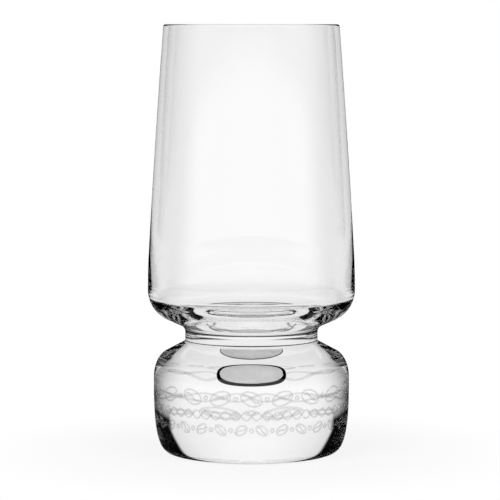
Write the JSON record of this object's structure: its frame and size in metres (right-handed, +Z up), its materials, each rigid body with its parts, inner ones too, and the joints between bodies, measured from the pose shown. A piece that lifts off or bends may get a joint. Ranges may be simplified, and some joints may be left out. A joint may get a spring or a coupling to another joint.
{
  "type": "espresso glass",
  "caption": "Tall espresso glass with a thin tapering bowl on a short thick stem and a heavy clear foot that traps a flat air pocket, for serving a short coffee.",
  "frame": {"origin": "on the glass's axis, at the level of the table it stands on", "axes": "+Z up along the glass's axis, from the foot to the rim; +X and +Y level, with -Y towards the picture's viewer"},
  "size_m": [0.047, 0.047, 0.097],
  "materials": {
    "bowl_glass": "clear, thin walled, fire-polished rim",
    "stem_glass": "clear, solid",
    "foot_glass": "clear, solid, with a pale frosted decoration round the side"
  },
  "bodies": {
    "root": {"bowl": "bowl_glass", "stem": "stem_glass", "foot": "foot_glass"}
  },
  "joints": []
}
